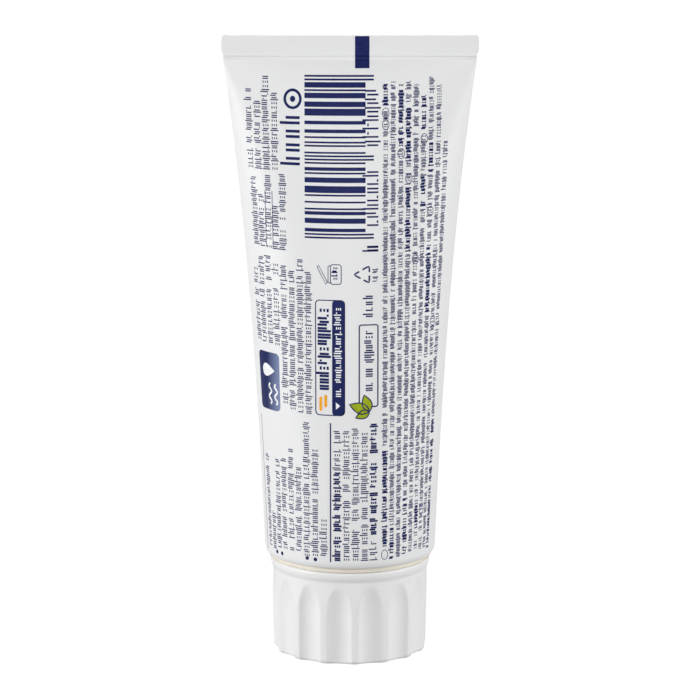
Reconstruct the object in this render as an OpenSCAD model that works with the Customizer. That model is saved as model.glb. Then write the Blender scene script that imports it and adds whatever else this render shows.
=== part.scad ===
// Squeeze tube for denture cleansing paste, standing on its fluted screw cap.
// Millimetres. +Z runs up from the middle of the cap's base to the crimped end,
// the crimp is wide along X, and the printed side faces -Y.

/* [Sleeve] */
// Outside diameter of the sleeve where it is still round
sleeve_d = 35; // [30:0.5:42]
// Length of the sleeve, from the end at the shoulder to the crimped end
sleeve_len = 108.4; // [90:0.2:130]
// Thickness of the sleeve's wall
sleeve_wall = 0.45; // [0.35:0.05:0.7]
// How far the lower end curls in over the shoulder
curl_in = 0.8; // [0.6:0.1:1.2]
// Height of that curl
curl_h = 1.5; // [1.0:0.1:2.0]

/* [Crimp] */
// Height of the flat welded band
crimp_h = 4.3; // [3:0.1:8]
// Share of the flattened girth that is left after the weld has drawn in
crimp_draw = 0.965; // [0.95:0.005:0.99]
// How far the band stands out past the sleeve just below it, on each side
crimp_step = 0.45; // [0.2:0.05:0.8]
// Height over which the sleeve swells into the band
crimp_ease = 0.8; // [0.5:0.1:2]
// Radius of the band's upper corners
crimp_corner = 0.8; // [0.3:0.1:1.5]

/* [Shoulder] */
// Slope of the shoulder under the flange, in degrees
shoulder_slope = 27; // [20:1:32]
// Thickness of the shoulder
shoulder_wall = 1.2; // [0.9:0.1:1.6]
// Height of the flange that shows between the sleeve and the cap
flange_h = 0.75; // [0.5:0.05:1.2]
// Height of the rim that is bonded inside the sleeve
bond_h = 3.4; // [2.5:0.1:5]
// Thickness of that rim
bond_wall = 1.0; // [0.7:0.1:1.4]
// Clearance left for the bond between the rim and the sleeve
bond_gap = 0.05; // [0.03:0.01:0.08]

/* [Neck] */
// Diameter of the neck without its thread
neck_d = 13.9; // [12:0.1:15.5]
// Thickness of the neck's wall
neck_wall = 1.4; // [1.0:0.1:2.0]
// Diameter of the hole that the paste leaves by
orifice_d = 6; // [4.5:0.1:7.5]
// Thickness of the end wall round that hole
orifice_wall = 1.5; // [1.0:0.1:2.0]

/* [Cap] */
// Height of the cap
cap_h = 19.75; // [17:0.25:24]
// How far the cap's side stands in from the sleeve's, at the cove
cap_inset = 1.4; // [1.2:0.1:2.5]
// How much narrower the cap's side is at its base, on the radius
cap_taper = 0.4; // [0:0.05:0.6]
// Radius of the edge round the base
base_round = 0.9; // [0.4:0.1:1.1]
// Thickness of the skirt between the flutes and the inside
skirt_wall = 1.2; // [1.0:0.05:1.6]
// Thickness of the end plate that the tube stands on
plate_wall = 1.6; // [1.2:0.1:2.2]
// Height of the smooth bead round the rim
bead_h = 1.1; // [0.8:0.1:1.5]
// How far the bead stands out past the cap's side
bead_out = 0.25; // [0.1:0.05:0.3]
// Height of the cove that leads from the bead down to the side
cove_h = 1.4; // [1.0:0.1:2.0]
// Gap between the cap's rim and the flange
rim_gap = 0.25; // [0.2:0.05:0.5]

/* [Flutes] */
// Number of flutes round the cap
flute_count = 15; // [12:1:16]
// Width of a flute at the cap's side
flute_w = 5.2; // [3.5:0.1:5.4]
// Depth of a flute
flute_depth = 1.05; // [0.6:0.05:1.2]
// Height up to which the flutes keep their full depth
flute_full_h = 10.5; // [6:0.1:11]
// Height of the arch in which a flute runs out
flute_arch_h = 6.7; // [4:0.1:7]
// Turn of the first ridge from the middle of the printed side, in degrees
ridge_turn = 3.7; // [0:0.1:12]

/* [Cap inside] */
// Room between the neck and the cap's collar, which the thread takes up
thread_room = 0.9; // [0.8:0.05:1.3]
// Thickness of the collar round the neck
collar_wall = 1.2; // [1.0:0.05:1.6]
// Clearance between the collar's top and the shoulder
collar_gap = 0.6; // [0.4:0.1:1.2]
// Height of the seat for the neck above the end plate
seat_h = 1.3; // [0.8:0.1:2.0]
// Clearance between the seat and the neck at rest
seat_gap = 0.2; // [0.1:0.05:0.3]
// Height of the plug that closes the hole
plug_h = 1.4; // [1.0:0.1:1.5]
// Clearance round the plug
plug_gap = 0.3; // [0.2:0.05:0.5]

/* [Paste] */
// Clearance between the paste and the walls that hold it
paste_gap = 0.05; // [0.03:0.01:0.1]

/* [Hidden] */

// Sides of the sleeve's cross-section
sides = 48;
// Rings along the sleeve between the curl and the crimp
body_rings = 22;
// Points along each rounded edge
edge_steps = 6;
// How far a cutter runs past what it cuts
over = 1;
$fn = 96;

// Cap
sleeve_r = sleeve_d / 2;
cap_r = sleeve_r - cap_inset;
base_r = cap_r - cap_taper;
bead_r = cap_r + bead_out;
bead_round = bead_h / 2;
bead_z = cap_h - bead_h;
side_z = bead_z - cove_h;
cap_draft = atan(cap_taper / side_z);
skirt_r = cap_r - flute_depth - skirt_wall;
skirt_base_r = base_r - flute_depth - skirt_wall;

// Flange and shoulder
flange_z = cap_h + rim_gap;
sleeve_z = flange_z + flange_h;
lip_r = sleeve_r - curl_in;
flange_r = lip_r - 2 * bond_gap;
shoulder_r = min(skirt_r - rim_gap, flange_r - flange_h);
neck_r = neck_d / 2;
neck_in_r = neck_r - neck_wall;
slope = tan(shoulder_slope);
shoulder_rise = shoulder_wall / cos(shoulder_slope);
neck_top_z = flange_z - (shoulder_r - neck_r) * slope;

// Seat, collar and hole
seat_z = plate_wall + seat_h;
neck_tip_z = seat_z + seat_gap;
orifice_r = orifice_d / 2;
plug_r = orifice_r - plug_gap;
collar_in_r = neck_r + thread_room;
collar_out_r = collar_in_r + collar_wall;
collar_top_z = neck_top_z - collar_gap;

// Sleeve
inner_r = sleeve_r - sleeve_wall;
bond_r = inner_r - bond_gap;
bond_in_r = bond_r - bond_wall;
bond_top_z = sleeve_z + bond_h;
curl_top_z = sleeve_z + curl_h;
top_z = sleeve_z + sleeve_len;
band_z = top_z - crimp_h;
band_t = 2 * sleeve_wall;
band_half_w = crimp_draw * PI * (sleeve_d - sleeve_wall) / 4 + sleeve_wall / 2;
end_half_w = band_half_w - crimp_step;

// An ellipse's quarter girth is close to the power mean of its half axes
// with this power, which gives the depth that a sleeve of fixed girth keeps.
girth_power = ln(2) / ln(PI / 2);

// Share of the widening reached at t, from 0 at the curl to 1 at the crimp
function flare(t) = 0.55 * t + 0.15 * pow(t, 2) + 0.3 * pow(t, 3);
function half_width(t) = sleeve_r + (end_half_w - sleeve_r) * flare(t);

function girth(a, b) = pow(pow(a, girth_power) + pow(b, girth_power), 1 / girth_power);
function girth_at(t) = girth(sleeve_r, sleeve_r) * (1 - t) + girth(end_half_w, band_t / 2) * t;
function half_depth(t) =
    pow(max(pow(girth_at(t), girth_power) - pow(half_width(t), girth_power),
            pow(band_t / 2, girth_power)), 1 / girth_power);

// Rings crowd towards the crimp, where the sleeve closes fastest
function ring_t(i) = 1 - pow(1 - i / body_rings, 1.7);
function t_z(t) = curl_top_z + (band_z - crimp_ease - curl_top_z) * t;

// A cross-section: half width a, half depth b, height z, and the power of the
// ends, which is 1 for an ellipse and near 0 for a flat band
function section(a, b, z, ends = 1) = [
    for (i = [0 : sides - 1])
        let (u = 360 * i / sides, s = sin(u))
        [a * cos(u), b * sign(s) * pow(abs(s), ends), z]
];

// The outside of the sleeve, from its lower lip to the crimped end
function outer_curl() = [
    for (i = [0 : edge_steps])
        let (u = 90 * i / edge_steps, r = lip_r + curl_in * sin(u))
        section(r, r, curl_top_z - curl_h * cos(u))
];
function outer_body() = [
    for (i = [1 : body_rings]) section(half_width(ring_t(i)), half_depth(ring_t(i)), t_z(ring_t(i)))
];
function outer_band() = [
    section((end_half_w + band_half_w) / 2, band_t / 2, band_z - crimp_ease / 2, 0.6),
    section(band_half_w, band_t / 2, band_z, 0.3),
    for (i = [0 : edge_steps])
        let (u = 90 * i / edge_steps)
        section(band_half_w - crimp_corner * (1 - cos(u)) / 2, band_t / 2,
                top_z - crimp_corner * (1 - sin(u)), 0.3)
];

// The inside, one wall in from the outside, up to where the walls meet
function inner_curl(gap) = [
    for (i = [0 : edge_steps])
        let (u = 90 * i / edge_steps)
        let (r = lip_r + (curl_in - sleeve_wall) * sin(u) - gap)
        section(r, r, curl_top_z - (curl_h - sleeve_wall) * cos(u))
];
function inner_body(gap) = [
    for (i = [1 : body_rings])
        let (in = sleeve_wall + gap, a = half_width(ring_t(i)) - in, b = half_depth(ring_t(i)) - in)
        if (b > sleeve_wall) section(a, b, t_z(ring_t(i)))
];

// One closed skin round a stack of rings
module skin(rings) {
    n = sides;
    last = len(rings) - 1;
    walls = [
        for (k = [0 : last - 1], i = [0 : n - 1])
            let (j = (i + 1) % n)
            each [
                [k * n + i, (k + 1) * n + i, (k + 1) * n + j],
                [k * n + i, (k + 1) * n + j, k * n + j],
            ]
    ];
    foot = [[for (i = [0 : n - 1]) i]];
    head = [[for (i = [n - 1 : -1 : 0]) last * n + i]];
    polyhedron(points = [for (ring = rings) each ring], faces = concat(foot, walls, head));
}

// Profile of the cap's side: rounded base, tapered side, cove and bead
function cap_side() = [
    for (i = [0 : edge_steps])
        let (u = 90 * i / edge_steps)
        [base_r - base_round * (1 - sin(u)), base_round * (1 - cos(u))],
    for (i = [0 : edge_steps])
        let (u = 180 * i / edge_steps)
        [cap_r + bead_out * (1 - cos(u)) / 2, side_z + cove_h * i / edge_steps],
    for (i = [0 : edge_steps])
        let (u = 90 * i / edge_steps)
        [bead_r - bead_round * (1 - cos(u)), cap_h - bead_round * (1 - sin(u))],
];

module cap_blank() {
    rotate_extrude()
        polygon(concat(
            [[0, 0]],
            cap_side(),
            [
                [skirt_r, cap_h],
                [skirt_base_r, plate_wall],
                [collar_out_r, plate_wall],
                [collar_out_r, collar_top_z],
                [collar_in_r, collar_top_z],
                [collar_in_r, seat_z],
                [plug_r, seat_z],
                [plug_r, seat_z + plug_h],
                [0, seat_z + plug_h],
            ]
        ));
}

// The cutter of a flute: a straight round bar that bends away from the cap
// over the height of the arch
module flute() {
    half_angle = asin(flute_w / 2 / cap_r);
    sag = flute_depth - cap_r * (1 - cos(half_angle));
    bar_r = (pow(flute_w / 2, 2) + pow(sag, 2)) / (2 * sag);
    bend_r = (pow(flute_arch_h, 2) + pow(flute_depth, 2)) / (2 * flute_depth);
    root_r = cap_r - flute_depth - cap_taper * (1 - flute_full_h / side_z);
    bend_angle = 2 * asin(flute_arch_h / bend_r);

    translate([root_r, 0, flute_full_h])
        rotate([0, cap_draft, 0]) {
            translate([bar_r, 0, -flute_full_h - over])
                cylinder(r = bar_r, h = flute_full_h + over);
            translate([bend_r, 0, 0])
                rotate([90, 0, 180])
                    rotate_extrude(angle = bend_angle)
                        translate([bend_r - bar_r, 0])
                            circle(r = bar_r);
        }
}

// The screw cap, one moulding: fluted skirt, end plate, collar and plug
module screw_cap() {
    pitch = 360 / flute_count;
    color([0.94, 0.94, 0.94])
        difference() {
            cap_blank();
            for (i = [0 : flute_count - 1])
                rotate([0, 0, ridge_turn - 90 + (i + 0.5) * pitch]) flute();
        }
}

// The moulded head: rim bonded inside the sleeve, flange, shoulder and neck
module tube_head() {
    lip_top_z = curl_top_z - curl_h + sleeve_wall;
    edge = 0.3;
    rim = [
        for (i = [0 : edge_steps])
            let (u = 90 * i / edge_steps)
            [flange_r + (bond_r - flange_r) * sin(u),
             curl_top_z - (curl_top_z - lip_top_z - bond_gap) * cos(u)]
    ];
    color([0.93, 0.91, 0.86])
        rotate_extrude()
            polygon(concat(
                [
                    [shoulder_r, flange_z],
                    [flange_r - edge, flange_z],
                    [flange_r, flange_z + edge],
                ],
                rim,
                [
                    [bond_r, bond_top_z - edge],
                    [bond_r - edge, bond_top_z],
                    [bond_in_r, bond_top_z],
                    [bond_in_r, neck_top_z + (bond_in_r - neck_r) * slope + shoulder_rise],
                    [neck_in_r, neck_top_z + (neck_in_r - neck_r) * slope + shoulder_rise],
                    [neck_in_r, neck_tip_z + orifice_wall],
                    [orifice_r, neck_tip_z + orifice_wall],
                    [orifice_r, neck_tip_z],
                    [neck_r - edge, neck_tip_z],
                    [neck_r, neck_tip_z + edge],
                    [neck_r, neck_top_z],
                ]
            ));
}

// The extruded sleeve: round at the shoulder, flattened and welded at the end
module sleeve() {
    color([0.93, 0.93, 0.95])
        difference() {
            skin(concat(outer_curl(), outer_body(), outer_band()));
            skin(concat(
                [section(lip_r, lip_r, sleeve_z - over)],
                inner_curl(0),
                inner_body(0)
            ));
        }
}

// The paste, which fills the sleeve, the shoulder and the neck
module paste() {
    function ring(r, z) = section(r - paste_gap, r - paste_gap, z);
    color([0.86, 0.94, 0.93])
        skin(concat(
            [
                ring(neck_in_r, neck_tip_z + orifice_wall + paste_gap),
                ring(neck_in_r, neck_top_z + (neck_in_r - neck_r) * slope + shoulder_rise + paste_gap),
                ring(bond_in_r, neck_top_z + (bond_in_r - neck_r) * slope + shoulder_rise + paste_gap),
                ring(bond_in_r, bond_top_z + paste_gap),
                ring(inner_r, bond_top_z + 2 * paste_gap),
            ],
            [for (ring = inner_body(paste_gap)) if (ring[0][2] > bond_top_z + bond_gap + over) ring]
        ));
}

screw_cap();
tube_head();
sleeve();
paste();
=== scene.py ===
"""Denture cleanser tube: the looks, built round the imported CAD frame.

Lengths are in millimetres until a mesh is placed, which turns them into metres.
The printed side faces -Y. Print is drawn flat, as X round the sleeve from the
middle of that side, Y up the sleeve and Z off its surface, and is then wrapped.
"""

import logging
import math
from collections.abc import Iterator
from contextlib import contextmanager
from dataclasses import dataclass, field
from enum import Enum

import bmesh
import bpy
import numpy as np
from mathutils import Matrix, Vector

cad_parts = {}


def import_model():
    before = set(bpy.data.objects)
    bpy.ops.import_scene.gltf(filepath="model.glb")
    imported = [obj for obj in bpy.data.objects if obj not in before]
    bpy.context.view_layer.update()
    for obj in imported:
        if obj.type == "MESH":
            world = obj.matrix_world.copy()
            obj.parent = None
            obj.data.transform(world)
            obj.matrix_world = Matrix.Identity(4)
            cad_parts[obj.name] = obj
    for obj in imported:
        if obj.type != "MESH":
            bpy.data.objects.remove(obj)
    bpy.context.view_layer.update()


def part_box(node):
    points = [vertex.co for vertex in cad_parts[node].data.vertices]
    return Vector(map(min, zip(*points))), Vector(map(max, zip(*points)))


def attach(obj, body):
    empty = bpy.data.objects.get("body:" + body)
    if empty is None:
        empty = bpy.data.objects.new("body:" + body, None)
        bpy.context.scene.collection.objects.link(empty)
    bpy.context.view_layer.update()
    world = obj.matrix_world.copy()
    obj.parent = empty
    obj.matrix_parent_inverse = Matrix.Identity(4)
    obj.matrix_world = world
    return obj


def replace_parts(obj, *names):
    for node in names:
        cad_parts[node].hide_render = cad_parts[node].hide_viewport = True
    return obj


LOG = logging.getLogger("denture_tube")
MM = 0.001
# Points closer than this are merged.
WELD = 0.0005
# How far print stands off the sleeve, and how far it reaches into it.
INK_TOP = 0.014
INK_SUNK = 0.02
# How far the cap's side stands in from the sleeve, and the gap over its rim.
CAP_INSET = 1.4
RIM_GAP = 0.25
Colour = tuple[float, float, float]
Outline = list[tuple[float, float]]
Faces = list[tuple[int, ...]]


class Term:
    """A node socket that takes part in Python expressions."""

    def __init__(self, graph: "Graph", socket: bpy.types.NodeSocket) -> None:
        """Keeps the socket and the graph it belongs to."""
        self.graph = graph
        self.socket = socket

    def _maths(self, operation: str, first: object, second: object) -> "Term":
        """Adds one Math node.

        Args:
            operation: the Math node's operation.
            first: its first value or socket.
            second: its second value or socket.

        Returns:
            The node's result.
        """
        settings = {"operation": operation}
        return self.graph.node("ShaderNodeMath", settings, {0: first, 1: second})

    def __add__(self, other: object) -> "Term":
        """Adds a value or a socket."""
        return self._maths("ADD", self, other)

    def __sub__(self, other: object) -> "Term":
        """Subtracts a value or a socket."""
        return self._maths("SUBTRACT", self, other)

    def __rsub__(self, other: object) -> "Term":
        """Is subtracted from a value."""
        return self._maths("SUBTRACT", other, self)

    def __mul__(self, other: object) -> "Term":
        """Multiplies by a value or a socket."""
        return self._maths("MULTIPLY", self, other)

    def __rtruediv__(self, other: object) -> "Term":
        """Divides a value."""
        return self._maths("DIVIDE", other, self)

    __radd__ = __add__
    __rmul__ = __mul__

    def least(self, other: object) -> "Term":
        """Gives the smaller of this and another value."""
        return self._maths("MINIMUM", self, other)


class Graph:
    """A node tree, with one method that adds and joins its nodes."""

    def __init__(self, tree: bpy.types.NodeTree) -> None:
        """Keeps the tree that the nodes go into."""
        self.tree = tree

    def node(self, kind: str, settings: dict, inputs: dict, out: int | str = 0) -> Term:
        """Adds a node, sets it and joins its inputs.

        Args:
            kind: the node's type.
            settings: its own properties, and the stops of a colour ramp.
            inputs: values or terms, by the socket's name or number.
            out: the output that is wanted.

        Returns:
            That output as a term.
        """
        made = self.tree.nodes.new(kind)
        for name, value in settings.items():
            if name == "stops":
                self._set_stops(made.color_ramp, value)
            else:
                setattr(made, name, value)
        for key, value in inputs.items():
            self.feed(made.inputs[key], value)
        return Term(self, made.outputs[out])

    def feed(self, socket: bpy.types.NodeSocket, value: object) -> None:
        """Links a term to a socket, or sets the socket's own value.

        Args:
            socket: the input that is fed.
            value: a term, or a plain value.
        """
        if isinstance(value, Term):
            self.tree.links.new(value.socket, socket)
        else:
            socket.default_value = value

    @staticmethod
    def _set_stops(ramp: bpy.types.ColorRamp, stops: list[tuple[float, Colour]]) -> None:
        """Gives a colour ramp its stops.

        Args:
            ramp: the colour ramp.
            stops: place and linear colour of each stop.
        """
        while len(ramp.elements) < len(stops):
            ramp.elements.new(0.5)
        for element, (place, colour) in zip(ramp.elements, stops):
            element.position = place
            element.color = (*colour, 1)


class Recipe(Graph):
    """A Geometry Nodes tree with named inputs, which is run once on an object."""

    def __init__(self, name: str, inputs: dict[str, tuple[str, object]]) -> None:
        """Makes the tree and its inputs.

        Args:
            name: the tree's name.
            inputs: for each named input, its socket type and its first value.
        """
        super().__init__(bpy.data.node_groups.new(name, "GeometryNodeTree"))
        face = self.tree.interface
        face.new_socket("Geometry", in_out="INPUT", socket_type="NodeSocketGeometry")
        face.new_socket("Geometry", in_out="OUTPUT", socket_type="NodeSocketGeometry")
        self.identifiers: dict[str, str] = {}
        finish = {"Finish": ("NodeSocketMaterial", None)}
        for label, (kind, value) in {**inputs, **finish}.items():
            socket = face.new_socket(label, in_out="INPUT", socket_type=kind)
            if value is not None:
                socket.default_value = value
            self.identifiers[label] = socket.identifier
        self.entry = self.tree.nodes.new("NodeGroupInput")
        self.exit = self.tree.nodes.new("NodeGroupOutput")

    def input(self, label: str) -> Term:
        """Gives one of the tree's own inputs."""
        return Term(self, self.entry.outputs[label])

    def chance(self, seed: int, share: object) -> Term:
        """Gives true for a random share of the points."""
        inputs = {"Probability": share, "Seed": self.input("Seed") + seed}
        return self.node("FunctionNodeRandomValue", {"data_type": "BOOLEAN"}, inputs, 3)

    def both(self, first: Term, second: Term) -> Term:
        """Gives true where both are true."""
        settings = {"operation": "AND"}
        return self.node("FunctionNodeBooleanMath", settings, {0: first, 1: second})

    def other(self, chosen: Term) -> Term:
        """Gives true where the choice is false."""
        return self.node("FunctionNodeBooleanMath", {"operation": "NOT"}, {0: chosen})

    def vector(self, x: object, y: object, z: object) -> Term:
        """Joins three numbers into a vector."""
        return self.node("ShaderNodeCombineXYZ", {}, {"X": x, "Y": y, "Z": z})

    def close(self, geometry: Term) -> None:
        """Realizes the instances, gives them the finish and ends the tree.

        Args:
            geometry: what the tree has made.
        """
        real = self.node("GeometryNodeRealizeInstances", {}, {"Geometry": geometry})
        inputs = {"Geometry": real, "Material": self.input("Finish")}
        self.feed(self.exit.inputs[0], self.node("GeometryNodeSetMaterial", {}, inputs))

    def run(
        self, mesh: bpy.types.Mesh, finish: bpy.types.Material, values: dict
    ) -> bpy.types.Mesh:
        """Runs the tree on a mesh.

        Args:
            mesh: what the tree starts from.
            finish: the material of what it makes.
            values: the tree's other inputs, by name.

        Returns:
            What the tree made, as a plain mesh.
        """
        start = bpy.data.objects.new("start", mesh)
        bpy.context.scene.collection.objects.link(start)
        modifier = start.modifiers.new("recipe", "NODES")
        modifier.node_group = self.tree
        for label, value in {**values, "Finish": finish}.items():
            modifier[self.identifiers[label]] = value
        graph = bpy.context.evaluated_depsgraph_get()
        made = bpy.data.meshes.new_from_object(start.evaluated_get(graph))
        start.modifiers.remove(modifier)
        bpy.data.objects.remove(start)
        return made


@dataclass(frozen=True)
class Finish:
    """What a surface is moulded in or printed with.

    Attributes:
        name: the material's name.
        colour: its linear colour.
    """

    name: str
    colour: Colour

    def material(self) -> bpy.types.Material:
        """Builds the material once and gives it."""
        found = bpy.data.materials.get(self.name)
        if found:
            return found
        made = bpy.data.materials.new(self.name)
        made.use_nodes = True
        graph = Graph(made.node_tree)
        place = graph.node("ShaderNodeTexCoord", {}, {}, "Object")
        self._dress(graph, made.node_tree.nodes["Principled BSDF"], place)
        return made

    def _dress(self, graph: Graph, shader: bpy.types.ShaderNode, place: Term) -> None:
        """Adds the nodes of this finish and feeds the shader.

        Args:
            graph: the material's nodes.
            shader: its Principled BSDF.
            place: the Object coordinates.
        """
        raise NotImplementedError


@dataclass(frozen=True)
class Plastic(Finish):
    """Moulded or extruded plastic: a faint mottle, fine grain and soft waves.

    Attributes:
        roughness: its mean roughness.
        mottle: how much the colour varies.
        grain: depth of the fine grain.
        wave: depth of the soft waves.
        stretch: how much the waves are drawn out up the tube.
        coat: weight of the clear coat.
        per_metre: scales of the mottle, the waves and the grain.
        uneven: how much the waves and the grain change the roughness.
        ior: index of refraction.
    """

    roughness: float
    mottle: float = 0.02
    grain: float = 0.002
    wave: float = 0.02
    stretch: float = 1.0
    coat: float = 0.0
    per_metre: tuple[float, float, float] = (110, 240, 5200)
    uneven: tuple[float, float] = (0.08, 0.06)
    ior: float = 1.5

    def _dress(self, graph: Graph, shader: bpy.types.ShaderNode, place: Term) -> None:
        """Adds the mottle, the waves and the grain."""
        stretched = {"Vector": place, "Scale": (1, 1, 1 / self.stretch)}
        drawn = graph.node("ShaderNodeMapping", {}, stretched)
        mottle_scale, wave_scale, grain_scale = self.per_metre
        mottle = self._noise(graph, place, mottle_scale, 3)
        wave = self._noise(graph, drawn, wave_scale, 2)
        grain = self._noise(graph, place, grain_scale, 2)
        tint = mottle * (2 * self.mottle) + (1 - self.mottle)
        grey = graph.node("ShaderNodeCombineXYZ", {}, {0: tint, 1: tint, 2: tint})
        settings = {"data_type": "RGBA", "blend_type": "MULTIPLY"}
        inputs = {"Factor": 1.0, 6: (*self.colour, 1), 7: grey}
        graph.feed(shader.inputs["Base Color"], graph.node("ShaderNodeMix", settings, inputs, 2))
        by_wave, by_grain = self.uneven
        mean = self.roughness - (by_wave + by_grain) / 2
        graph.feed(shader.inputs["Roughness"], wave * by_wave + grain * by_grain + mean)
        height = wave * self.wave + grain * self.grain
        bump = {"Height": height, "Distance": MM, "Strength": 1.0}
        graph.feed(shader.inputs["Normal"], graph.node("ShaderNodeBump", {}, bump))
        shader.inputs["IOR"].default_value = self.ior
        shader.inputs["Coat Weight"].default_value = self.coat

    @staticmethod
    def _noise(graph: Graph, place: Term, scale: float, detail: float) -> Term:
        """Adds a noise texture of the given scale, per metre."""
        inputs = {"Vector": place, "Scale": scale, "Detail": detail, "Roughness": 0.55}
        return graph.node("ShaderNodeTexNoise", {}, inputs)


@dataclass(frozen=True)
class Ink(Finish):
    """A printed ink: flat, a little glossy, with slightly uneven cover.

    Attributes:
        far_colour: the colour that it fades to, if it does.
        fade: where along X the fade starts and ends.
        roughness: its mean roughness.
        gloss: strength of its reflection.
        per_metre: scale of the uneven cover.
        uneven: how much the cover changes the roughness.
    """

    far_colour: Colour | None = None
    fade: tuple[float, float] = (0.0, 1.0)
    roughness: float = 0.36
    gloss: float = 0.16
    per_metre: float = 900.0
    uneven: float = 0.1

    def _dress(self, graph: Graph, shader: bpy.types.ShaderNode, place: Term) -> None:
        """Adds the uneven cover and the fade."""
        inputs = {"Vector": place, "Scale": self.per_metre, "Detail": 2.0}
        cover = graph.node("ShaderNodeTexNoise", {}, inputs)
        if self.far_colour:
            along = graph.node("ShaderNodeSeparateXYZ", {}, {0: place}, "X")
            near, far = self.fade
            ends = {"Value": along, "From Min": near * MM, "From Max": far * MM}
            blend = graph.node("ShaderNodeMapRange", {}, ends)
            stops = [(0.0, self.colour), (1.0, self.far_colour)]
        else:
            blend = cover
            thin = tuple(1.25 * c + 0.004 for c in self.colour)
            stops = [(0.3, self.colour), (0.75, thin)]
        ramp = graph.node("ShaderNodeValToRGB", {"stops": stops}, {0: blend})
        graph.feed(shader.inputs["Base Color"], ramp)
        rough = cover * self.uneven + (self.roughness - self.uneven / 2)
        graph.feed(shader.inputs["Roughness"], rough)
        shader.inputs["Specular IOR Level"].default_value = self.gloss


SLEEVE_WHITE = Plastic("sleeve_white", (0.84, 0.843, 0.85), 0.34, 0.012, 0.0012, 0.012, 9.0)
CAP_WHITE = Plastic("cap_white", (0.86, 0.86, 0.86), 0.38, 0.012, 0.0022, 0.01)
HEAD_IVORY = Plastic("head_ivory", (0.83, 0.78, 0.68), 0.45, 0.03, 0.003, 0.01)
PASTE_MINT = Plastic("paste_mint", (0.72, 0.85, 0.83), 0.3, 0.05, 0.004, 0.12, 1.0, 0.3)
NAVY = Ink("ink_navy", (0.005, 0.011, 0.086))
NAVY_FADE = Ink("ink_navy_fade", (0.005, 0.011, 0.086), (0.2, 0.25, 0.42), (-17.0, -14.6))
GREEN = Ink("ink_green", (0.305, 0.376, 0.007))
AMBER = Ink("ink_amber", (0.83, 0.36, 0.02))
WHITE = Ink("ink_white", (0.82, 0.83, 0.85))


def smooth(share: np.ndarray | float) -> np.ndarray | float:
    """Eases a share from 0 to 1."""
    held = np.clip(share, 0, 1)
    return held * held * (3 - 2 * held)


def arc(count: int) -> np.ndarray:
    """Gives angles from 0 to a right angle."""
    return np.linspace(0, math.pi / 2, count)


def grid_mesh(
    name: str, rows: list[np.ndarray], closed: bool, caps: Faces | None = None
) -> bpy.types.Mesh:
    """Joins rows of points into quads.

    Args:
        name: the mesh's name.
        rows: arrays of points of the same length, from low to high.
        closed: whether the last point of each row joins the first.
        caps: the faces that close the first and the last row, if any do.

    Returns:
        The mesh, in millimetres, with its doubled points merged.
    """
    count = len(rows[0])
    faces = []
    for low in range(0, (len(rows) - 1) * count, count):
        high = low + count
        for i in range(count if closed else count - 1):
            j = (i + 1) % count
            faces.append((low + i, low + j, high + j, high + i))
    mesh = bpy.data.meshes.new(name)
    mesh.from_pydata(np.concatenate(rows).tolist(), [], faces + (caps or []))
    with opened(mesh) as work:
        bmesh.ops.remove_doubles(work, verts=work.verts, dist=WELD)
        bmesh.ops.dissolve_degenerate(work, edges=work.edges, dist=WELD / 2)
    return mesh


@contextmanager
def opened(mesh: bpy.types.Mesh) -> Iterator[bmesh.types.BMesh]:
    """Opens a mesh for editing and writes the edit back.

    Args:
        mesh: the mesh.

    Yields:
        The open mesh.
    """
    work = bmesh.new()
    work.from_mesh(mesh)
    yield work
    work.to_mesh(mesh)
    work.free()


def strip_close(count: int, first: int) -> Faces:
    """Gives the faces that close a ring which is the same mirrored in Y.

    Args:
        count: how many points the ring has.
        first: the number of its first point.

    Returns:
        The faces, against the clock seen from above.
    """
    pairs = [(i, i + 1, (count - i - 1) % count, (count - i) % count) for i in range(count // 2)]
    return [tuple(first + i for i in face) for face in pairs]


def place(
    name: str, mesh: bpy.types.Mesh, body: str, crease: float, slot: str = ""
) -> bpy.types.Object:
    """Turns a finished mesh into a piece that rides on a body.

    Args:
        name: the piece's name.
        mesh: its mesh, in millimetres.
        body: the CAD body that it moves with.
        crease: the angle in degrees past which an edge stays sharp.
        slot: the record's material slot, if it has one; not used.

    Returns:
        The piece.
    """
    mesh.transform(Matrix.Scale(MM, 4))
    mesh.name = name
    mesh.shade_smooth()
    mesh.set_sharp_from_angle(angle=math.radians(crease))
    piece = bpy.data.objects.new(name, mesh)
    bpy.context.scene.collection.objects.link(piece)
    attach(piece, body)
    LOG.info("%s: %d faces, rides on %s", name, len(mesh.polygons), body)
    return piece


def rounded(corners: list[tuple[float, float, float]], steps: int = 5) -> Outline:
    """Rounds the corners of a profile.

    Args:
        corners: radius, height and the rounding of each corner.
        steps: how many stretches an arc gets.

    Returns:
        The profile's points.
    """
    points = []
    for k, (r, z, fillet) in enumerate(corners):
        here = Vector((r, z))
        if fillet == 0 or k in (0, len(corners) - 1):
            points.append((r, z))
            continue
        back = (Vector(corners[k - 1][:2]) - here).normalized()
        ahead = (Vector(corners[k + 1][:2]) - here).normalized()
        half = back.angle(ahead) / 2
        reach = fillet / math.tan(half)
        centre = here + (back + ahead).normalized() * fillet / math.sin(half)
        start = here + back * reach - centre
        end = here + ahead * reach - centre
        for s in np.linspace(0, 1, steps + 1):
            spoke = start.slerp(end, float(s)).normalized() * fillet
            points.append(tuple(centre + spoke))
    return points


def revolve(profile: Outline, columns: int) -> list[np.ndarray]:
    """Turns a profile of radius and height round Z into rows of points.

    Args:
        profile: the profile's points.
        columns: number of points round the axis.

    Returns:
        One array of points for each point of the profile.
    """
    turn = np.arange(columns) * 2 * math.pi / columns
    return [
        np.stack([r * np.cos(turn), r * np.sin(turn), np.full(columns, float(z))], 1)
        for r, z in profile
    ]


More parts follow.
